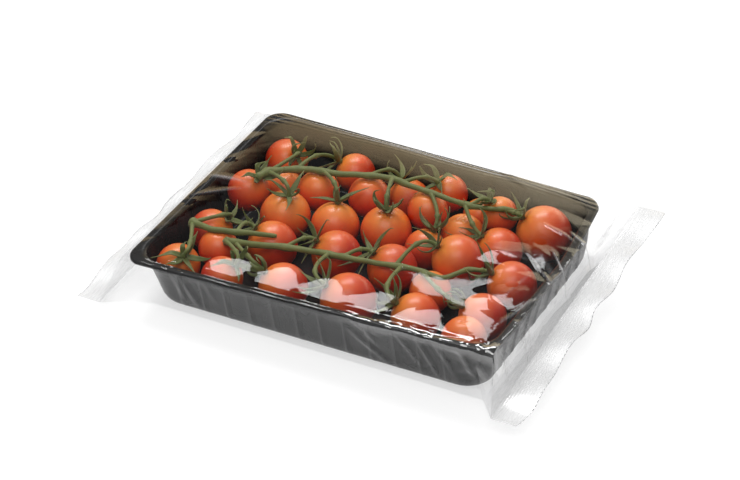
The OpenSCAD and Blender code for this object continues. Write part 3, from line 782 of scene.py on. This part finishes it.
# %% Grow both trusses
def truss(routes, numbers, seed):
    luck = np.random.default_rng(seed)
    growth = Growth()
    stems = [lay_stem(route) for route in routes]
    starts = {}
    for k in numbers:
        near = [np.linalg.norm(path - calyx_point(k - 1), axis=1) for path in stems]
        nearest = min(range(len(stems)), key=lambda s: near[s].min())
        starts[k] = stems[nearest][max(0, near[nearest].argmin() - LEAVES_AT)]
    for path in stems:
        grow_stem(growth, path, starts.values())
    for k in numbers:
        grow_stalk(growth, k - 1, starts[k], luck)
        grow_hub(growth, k - 1)
        count = luck.integers(5, 7)
        for s in range(count):
            grow_sepal(growth, k - 1, 2 * math.pi * (s + luck.uniform(-0.18, 0.18)) / count + k, luck)
    return growth


trusses = {
    "vine_front": truss([front_stub, front_stem], on_front, 11),
    "vine_back": truss([back_stem], on_back, 12)}
print({name: len(g.points) for name, g in trusses.items()}, "points in the vines")

# %% [markdown]
# ## Green stem and hairs
# Young tomato stems are matt and finely haired, which gives them a pale edge against the red. The
# green is light and yellowish on the stems and darker on the sepals, whose tips have begun to dry.
# The hairs are hundreds of the same tiny spike on a surface, so a Geometry Nodes tree scatters them.

# %% Stem material and hair tree
def stem_green():
    made, tree, out = material("stem_green")
    place = add(tree, "ShaderNodeTexCoord").outputs["Object"]
    leafy = stored(tree, "leafy")
    along = stored(tree, "along")
    mottle = speckle(tree, place, 260, 4)
    slow = speckle(tree, place, 30, 2)
    stem = blend(tree, mottle, (0.075, 0.10, 0.02), (0.19, 0.205, 0.055))
    leaf = blend(tree, mottle, (0.055, 0.08, 0.016), (0.15, 0.165, 0.042))
    dry = times(tree, math_node(tree, "POWER", along, 5), times(tree, leafy, slow))
    color = blend(tree, dry, blend(tree, leafy, stem, leaf), (0.30, 0.26, 0.10))
    bump = bumped(tree, mottle, 0.5, 0.0004)
    shader = add(tree, "ShaderNodeBsdfPrincipled", {
        "Base Color": color, "Roughness": 0.62, "Normal": bump,
        "Subsurface Weight": 0.12, "Subsurface Radius": (0.4, 1.0, 0.2), "Subsurface Scale": 0.001,
        "Sheen Weight": 0.08, "Sheen Roughness": 0.5})
    tree.links.new(shader.outputs[0], out.inputs["Surface"])
    return made


def hair_tree(green):
    tree, given = new_tree("fine hairs", Hairs_per_m2="Float", Hair_length="Float", Hair_radius="Float", Seed="Int")
    dots = add(tree, "GeometryNodeDistributePointsOnFaces", {
        "Mesh": given["Geometry"], "Density": given["Hairs per m2"], "Seed": given["Seed"]})
    spike = add(tree, "GeometryNodeMeshCone", {
        "Vertices": 3, "Radius Top": 0.0, "Radius Bottom": given["Hair radius"], "Depth": given["Hair length"]},
        fill_type="NONE")
    luck = add(tree, "FunctionNodeRandomValue", {2: 0.5, 3: 1.2, "Seed": given["Seed"]}, data_type="FLOAT")
    placed = add(tree, "GeometryNodeInstanceOnPoints", {
        "Points": dots.outputs["Points"], "Instance": spike.outputs["Mesh"], "Rotation": dots.outputs["Rotation"],
        "Scale": luck.outputs[1]})
    joined = add(tree, "GeometryNodeJoinGeometry", {0: given["Geometry"]})
    tree.links.new(placed.outputs[0], joined.inputs[0])
    real = add(tree, "GeometryNodeRealizeInstances", {0: joined.outputs[0]})
    coated = add(tree, "GeometryNodeSetMaterial", {"Geometry": real.outputs[0], "Material": green})
    add(tree, "NodeGroupOutput", {0: coated.outputs[0]})
    return tree


# %% Add the hairs
green = stem_green()
hairs = hair_tree(green)
for name, growth in trusses.items():
    bare = mesh_object(name + "_bare", growth.points, growth.faces, leafy=growth.leafy, along=growth.along)
    haired = grown(name + "_truss", bare, hairs, **{
        "Hairs per m2": 1.1e6, "Hair length": 0.0006, "Hair radius": 0.00005, "Seed": 3})
    finish_piece(haired, "vine_green", name)

# %% [markdown]
# ## Film
# The bag is one web of clear film, folded round the tray and sealed lengthwise underneath, then
# squeezed flat and cut at both ends. Tension makes it straight from the rim to the seals, and it is
# cut with a zigzag knife. Here it is one skin, lofted through stations along the tray: a crowned
# top, a narrow fold over the rim, two side walls that run in to the foot, and a bottom. Where the
# real film is crumpled, it breaks into small flat facets that each mirror the light their own way, so
# the skin is pushed out by a net of random triangles, most near the front rim and the right-hand
# end, and by the creases that can be made out in the picture. Along a crease and in the seals the
# film has turned white, and an attribute keeps how much.

# %% Facets and creases of the crumpled film
RIM_HALF, FOOT_HALF = HALF_W + FILM_GAP + FILM_T, HALF_W - FOOT_IN + FOOT_SLACK + FILM_T
CREASES = [  # x and place round the section at both ends, then width, height and how white it is
    (-94, 4, -71, 1, 1.6, 0.35, 0.35), (-92, -15, -70, -5, 1.2, 0.2, 0.2),
    (-67, -73, -65, -90, 1.2, 0.5, 0.08), (-64, -73, -57, -97, 1.5, 0.6, 0.1), (-50, -73, -48, -86, 1.2, 0.3, 0.04),
    (31, -73, 37, -85, 0.9, 0.5, 0.25), (24, -80, 42, -98, 1.2, 0.6, 0.1), (49, -76, 57, -92, 0.9, 0.5, 0.2),
    (58, -73, 66, -97, 1.0, 0.6, 0.12), (67, -75, 75, -92, 0.9, 0.5, 0.2), (80, -74, 86, -97, 1.3, 0.7, 0.25),
    (92, -71, 101, -64, 0.8, 0.5, 0.5), (94, -47, 101, -46, 0.7, 0.4, 0.5), (95, -40, 100, -42, 0.7, 0.4, 0.5),
    (87, 11, 100, -2, 0.7, 0.5, 0.6), (88, 31, 101, 26, 0.8, 0.5, 0.5), (88, -56, 99, -8, 0.8, 0.5, 0.35),
    (95, -23, 96, 15, 0.8, 0.5, 0.35), (95, -67, 100, -28, 0.8, 0.5, 0.4), (78, 4, 98, -13, 0.8, 0.4, 0.3),
    (64, -2, 81, -1, 0.9, 0.25, 0.15), (74, 31, 92, 26, 0.8, 0.35, 0.3), (83, -34, 85, -10, 1.0, 0.3, 0.2),
    (62, -4, 83, 5, 4.5, 1.2, 0.05), (80, 7, 99, -8, 2.6, 0.9, 0.1), (76, -38, 92, -22, 4.0, 0.9, 0.04),
    (25, 70, 62, 69, 1.6, 0.5, 0.1), (-100, -60, -97, -20, 1.5, 0.4, 0.12), (-98, 10, -99, 55, 1.5, 0.4, 0.12),
    (98, 35, 97, 70, 1.0, 0.4, 0.4),
]


def crumple(x, t):
    """How crumpled the film is, from 0 to 1. The place t goes round the section from its top middle."""
    end = ramp((x - 64) / 22) * np.clip((62 - t) / 40, 0.25, 1)
    edge = ramp(1.15 - np.abs(t + RIM_HALF + 3) / 12) * np.clip((x - 5) / 40, 0, 0.9)
    front = 0.1 * ramp((-t - 52) / 12)
    back = 0.4 * ramp((t - 58) / 8) * np.clip((x + 20) / 50, 0.15, 1)
    left = 0.3 * ramp((-x - 80) / 12)
    return np.maximum.reduce([end, edge, front, back, left, np.full_like(end, 0.04)])


def frayed(x, t):
    """Where the film is crumpled finely: along the front rim, most in its right half."""
    return ramp(1.5 - np.abs(t + RIM_HALF - 1) / 4) * np.clip((x - 8) / 25, 0.2, 1)


def facet_height(x, t, pitch, tall, share, seed):
    """Height of a net of random triangles at every place of the film's grid."""
    luck = np.random.default_rng(seed)
    spots = [(px + luck.uniform(-0.45, 0.45) * pitch, pt + luck.uniform(-0.45, 0.45) * pitch)
             for px in np.arange(-122, 123, pitch) for pt in np.arange(-116, 117, pitch)]
    verts, _, tris, *_ = geometry.delaunay_2d_cdt([Vector(p) for p in spots], [], [], 0, 1e-4)
    v = np.array([tuple(p) for p in verts])
    h = luck.uniform(0, tall, len(v)) * share(v[:, 0], v[:, 1])
    out = np.zeros(x.shape)
    for a, b, c in tris:
        if max(h[a], h[b], h[c]) == 0:
            continue
        low, high = v[[a, b, c]].min(axis=0), v[[a, b, c]].max(axis=0)
        near = (x >= low[0]) & (x <= high[0]) & (t >= low[1]) & (t <= high[1])
        dx, dt = x[near] - v[a, 0], t[near] - v[a, 1]
        (bx, bt), (cx, ct) = v[b] - v[a], v[c] - v[a]
        area = bx * ct - bt * cx
        u, w = (dx * ct - dt * cx) / area, (bx * dt - bt * dx) / area
        inside = (u >= -1e-9) & (w >= -1e-9) & (u + w <= 1 + 1e-9)
        out[near] = np.where(inside, h[a] * (1 - u - w) + h[b] * u + h[c] * w, out[near])
    return out


def crease_height(x, t):
    """Height of the sharp creases, and how white the film has become along them."""
    rise, white = np.zeros(x.shape), np.zeros(x.shape)
    for x0, t0, x1, t1, wide, high, pale in CREASES:
        way = np.array([x1 - x0, t1 - t0])
        along = ramp(((x - x0) * way[0] + (t - t0) * way[1]) / (way @ way))
        off = np.hypot(x - x0 - along * way[0], t - t0 - along * way[1])
        taper = np.sin(math.pi * np.clip(along, 0.06, 0.94)) ** 0.5
        rise += high * taper * np.maximum(0, 1 - off / (2.2 * wide))
        white = np.maximum(white, pale * taper * np.exp(-(off / (0.7 * wide)) ** 2))
    return rise, white


# %% Stations and grid of the film
PRESSED = 2.5  # so much nearer to the tray than the seal itself is the film already pressed flat
UNDER = 999  # the place t of the underside, where no crease or facet reaches
SEAL_X, CUT_X, SEAL_HALF = HALF_L + END_REACH - SEAL_W - PRESSED, HALF_L + END_REACH, HALF_W + EAR
RIM_END, FOOT_END = HALF_L + FILM_GAP + FILM_T, HALF_L - FOOT_IN + FOOT_SLACK
N_TOP, N_FOLD, N_SIDE, N_LOW, FOLD_R = 190, 5, 24, 34, 1.3


def in_seal(x):
    """How far into the end seal a place is, from 0 to 1."""
    return ramp((np.abs(x) - SEAL_X) / SEAL_W)


def seal_height(x, y):
    wave = SEAL_WAVE * np.sin(2 * math.pi * 2.5 * y / SEAL_HALF) * in_seal(x)
    return SEAL_Z + SEAL_TILT * y / SEAL_HALF + wave


def film_grid(stations):
    """Places of the film, one closed section a row, and how white and how crumpled it is at each."""
    x = stations[:, None]
    # how far the film has run in from the rim and from the foot to the seal
    f = ramp((np.abs(x) - RIM_END) / (SEAL_X - RIM_END))
    g = ramp((np.abs(x) - FOOT_END) / (SEAL_X - FOOT_END))
    top_half, low_half, r = lerp(RIM_HALF, SEAL_HALF, f), lerp(FOOT_HALF, SEAL_HALF, g), lerp(FOLD_R, 0.1, f)
    crimp = 0.05 * np.sin(2 * math.pi * x / 1.3) * ramp((np.abs(x) - SEAL_X) / 2)

    s = np.linspace(-1, 1, N_TOP + 1)
    y = s * (top_half - r)
    on_rim = eased(ramp((np.abs(y) - HALF_W + 4.6) / 2.0))
    over = CROWN * crown_share(x, y) * (1 - on_rim)
    z = lerp(RIM_Z + FILM_GAP + twist(x, y) + over + FILM_T / 2, seal_height(x, y) + 0.12, f) + crimp
    # folds that fan out to the seals, slack waves over the front band, and fine pulls at the back
    z = z + 2.6 * f * (1 - f) * np.cos(math.pi * 9 * s + 1.1 * np.sin(7 * s))
    z = z + 0.2 * np.cos(2 * math.pi * x / 27 + 0.9 * np.sin(x / 19)) * ramp((-y - 46) / 14) * (1 - f)
    z = z + 0.09 * np.sin(2 * math.pi * y / 3.7 + 1.5 * np.sin(x / 11)) * ramp((y - 57) / 7) * (1 - f)
    one = np.ones_like(y)
    rows = [(y, z, y, 0 * one, one)]

    a = np.linspace(0, math.pi / 2, N_FOLD + 1)[1:]
    fold_y, fold_t, drop = top_half - r + r * np.sin(a), top_half - r + r * a, r * (1 - np.cos(a))
    back_fold = (fold_y, z[:, -1:] - drop, fold_t, np.sin(a) + 0 * fold_y, np.cos(a) + 0 * fold_y)
    front_fold = (-fold_y, z[:, :1] - drop, -fold_t, -np.sin(a) + 0 * fold_y, np.cos(a) + 0 * fold_y)

    down = np.linspace(1, -1, N_LOW + 1)
    low_y = down * low_half
    low_z = lerp(np.where(np.abs(low_y) < FIN_W + 2, 0.85, 0.05), seal_height(x, low_y) - 0.12 + crimp, g)
    low = (low_y, low_z, np.full_like(low_y, UNDER), 0 * low_y, 0 * low_y)

    k = np.linspace(0, 1, N_SIDE + 1)[1:-1]
    reach = z[:, :1] - r - low_z[:, -1:]
    bow = np.sin(math.pi * k) * 0.5 * (1 - g)
    ease = np.minimum(1, (1 - k) * 6)
    wall_y, wall_t, ease = lerp(top_half, low_half, k) - bow, fold_t[:, -1:] + k * reach, ease + 0 * bow
    back_side = (wall_y, lerp(back_fold[1][:, -1:], low_z[:, :1], k), wall_t, ease, -0.2 * ease)
    front_side = (-wall_y, lerp(front_fold[1][:, -1:], low_z[:, -1:], k), -wall_t, -ease, -0.2 * ease)
    rows += [back_fold, back_side, low] + [tuple(p[:, ::-1] for p in row) for row in (front_side, front_fold)]
    y, z, t, out_y, out_z = (np.concatenate(part, axis=1) for part in zip(*rows))

    x = x + 0 * y
    rise, white = crease_height(x, t)
    rise = rise + facet_height(x, t, 12.5, 2.0, crumple, 5) + facet_height(x, t, 3.6, 1.1, frayed, 8)
    lift = rise * ramp((1 - f) * 1.5) * (1 - 0.5 * np.sin(math.pi * f)) * (t < UNDER)
    seam = 0.42 * ramp((np.abs(x) - RIM_END - 1) / 6.4) ** 1.5 + 0.02 * crumple(x, t) * (t < UNDER)
    ragged = 1.1 * (1 + np.sin(y / 7 + 1.4 * np.sin(y / 17) + np.sign(x))) + np.abs((y / 2.6) % 1 - 0.5) * 1.6
    x = x + np.sign(x) * (lift * np.sin(math.pi * f) - ragged * in_seal(x))
    stacked = frayed(x, t) * (t < UNDER)
    return np.stack([x, y + out_y * lift, z + out_z * lift], axis=2), np.maximum(white, seam), stacked


# %% Loft the film
def between(a, b, step):
    return np.linspace(a, b, max(2, int(abs(b - a) / step)))[:-1]


right_half = np.concatenate([
    between(0, 40, 1.2), between(40, FOOT_END, 0.8), between(FOOT_END, RIM_END, 0.8), between(RIM_END, SEAL_X, 0.5),
    between(SEAL_X, CUT_X, 0.45), [CUT_X]])
places = np.concatenate([-right_half[::-1], right_half[1:]])
grid, whiteness, stacked = film_grid(places)
m = grid.shape[1]
film_points = grid.reshape(-1, 3)
faces = [f for k in range(len(places) - 1) for f in ring_faces(k * m, (k + 1) * m, m)]
faces = [tuple(range(m))] + faces + [tuple(reversed(range((len(places) - 1) * m, len(places) * m)))]
print("the film has", len(places), "stations of", m, "points")

# %% [markdown]
# ## Vent holes
# The top film is punched with small round holes, so that the fruit can breathe. In a mesh of little
# quads, a hole is made by taking out the faces inside a circle and moving the loop that is left
# onto the circle.

# %% Punch the vents
VENT_R = 3.0
vents = [  # as shares of the half length and half width
    (-0.93, -0.30), (-0.95, 0.27), (-0.29, 0.56), (0.17, 0.05), (0.18, 0.59), (0.63, 0.08), (0.83, 0.22),
    (0.86, -0.32)]


def punch(points, faces, x, y):
    flat = points[:, :2] - (x, y)
    on_top = (points[:, 2] > RISE + 15) & (np.arange(len(points)) % m <= N_TOP)
    far = np.linalg.norm(flat, axis=1)
    inside = on_top & (far < VENT_R)
    left, rim = [], set()
    for f in faces:
        if len(f) == 4 and sum(inside[list(f)]) >= 2 and all(on_top[list(f)]):
            rim.update(f)
        else:
            left.append(f)
    used = set(i for f in left for i in f)
    for i in rim & used:
        points[i, :2] = np.array((x, y)) + flat[i] / far[i] * VENT_R
    return left


faces = outward(film_points, faces)
for v in vents:
    faces = punch(film_points, faces, v[0] * HALF_L, v[1] * HALF_W)
film = mesh_object("clear_film", film_points, faces, sharp=35, milky=whiteness.ravel(), stacked=stacked.ravel())
print("punched", len(vents), "vents")

# %% [markdown]
# ## Clear film
# A film this thin doesn't bend light, so glass with refraction would be wrong. It only mirrors a
# part of it: little where it is looked at straight on, and much at a grazing angle. A clear shader
# and a glossy one are mixed by that angle, and the clear one loses a little light at the edges,
# where the eye looks through more film. In the seals and along creases a matt white is mixed in,
# in fine streaks.

# %% Film material
def clear_film():
    made, tree, out = material("clear_film")
    place = add(tree, "ShaderNodeTexCoord").outputs["Object"]
    ripple = speckle(tree, place, 60, 2)
    bump = bumped(tree, ripple, 0.3, 0.0005)
    edge = add(tree, "ShaderNodeLayerWeight", {"Blend": 0.5, "Normal": bump}).outputs["Facing"]
    stacked = stored(tree, "stacked")
    least = math_node(tree, "ADD", 0.03, times(tree, stacked, 0.12))
    kept = stored(tree, "milky")
    grazing = times(tree, math_node(tree, "POWER", edge, 4.5), math_node(
        tree, "SUBTRACT", 0.83, times(tree, kept, 1.3)))
    mirror = math_node(tree, "ADD", least, math_node(tree, "MAXIMUM", grazing, 0))
    stretched = add(tree, "ShaderNodeVectorMath", {0: place, 1: (14, 1.5, 5)}, operation="MULTIPLY").outputs[0]
    streak = speckle(tree, stretched, 110, 3)
    milky = times(tree, kept, math_node(tree, "ADD", 0.1, times(tree, streak, 1.8)))
    milky = math_node(tree, "MINIMUM", milky, 0.9)
    rough = math_node(tree, "ADD", 0.04, times(tree, kept, 0.5))
    unmirrored = math_node(tree, "SUBTRACT", 1, mirror)
    through = times(tree, unmirrored, math_node(tree, "SUBTRACT", 1, milky))
    held = math_node(tree, "SUBTRACT", 1, through)
    tint = blend(tree, math_node(tree, "POWER", edge, 3), (0.98, 0.98, 0.98), (0.82, 0.82, 0.83))
    clear = add(tree, "ShaderNodeBsdfTransparent", {"Color": tint})
    gloss = add(tree, "ShaderNodeBsdfAnisotropic", {"Color": (1, 1, 1, 1), "Roughness": rough, "Normal": bump})
    matt = add(tree, "ShaderNodeBsdfDiffuse", {"Color": (0.75, 0.75, 0.75, 1)})
    lit_through = add(tree, "ShaderNodeBsdfTranslucent", {"Color": (0.75, 0.75, 0.75, 1)})
    white = add(tree, "ShaderNodeMixShader", {0: 0.4, 1: matt.outputs[0], 2: lit_through.outputs[0]})
    share = math_node(tree, "DIVIDE", times(tree, milky, unmirrored), held)
    solid = add(tree, "ShaderNodeMixShader", {0: share, 1: gloss.outputs[0], 2: white.outputs[0]})
    mixed = add(tree, "ShaderNodeMixShader", {0: held, 1: clear.outputs[0], 2: solid.outputs[0]})
    tree.links.new(mixed.outputs[0], out.inputs["Surface"])
    return made


film.data.materials.append(clear_film())
finish_piece(film, "film_clear", "film_wrap")

# %% Finish
bpy.context.scene.view_settings.view_transform = "Standard"
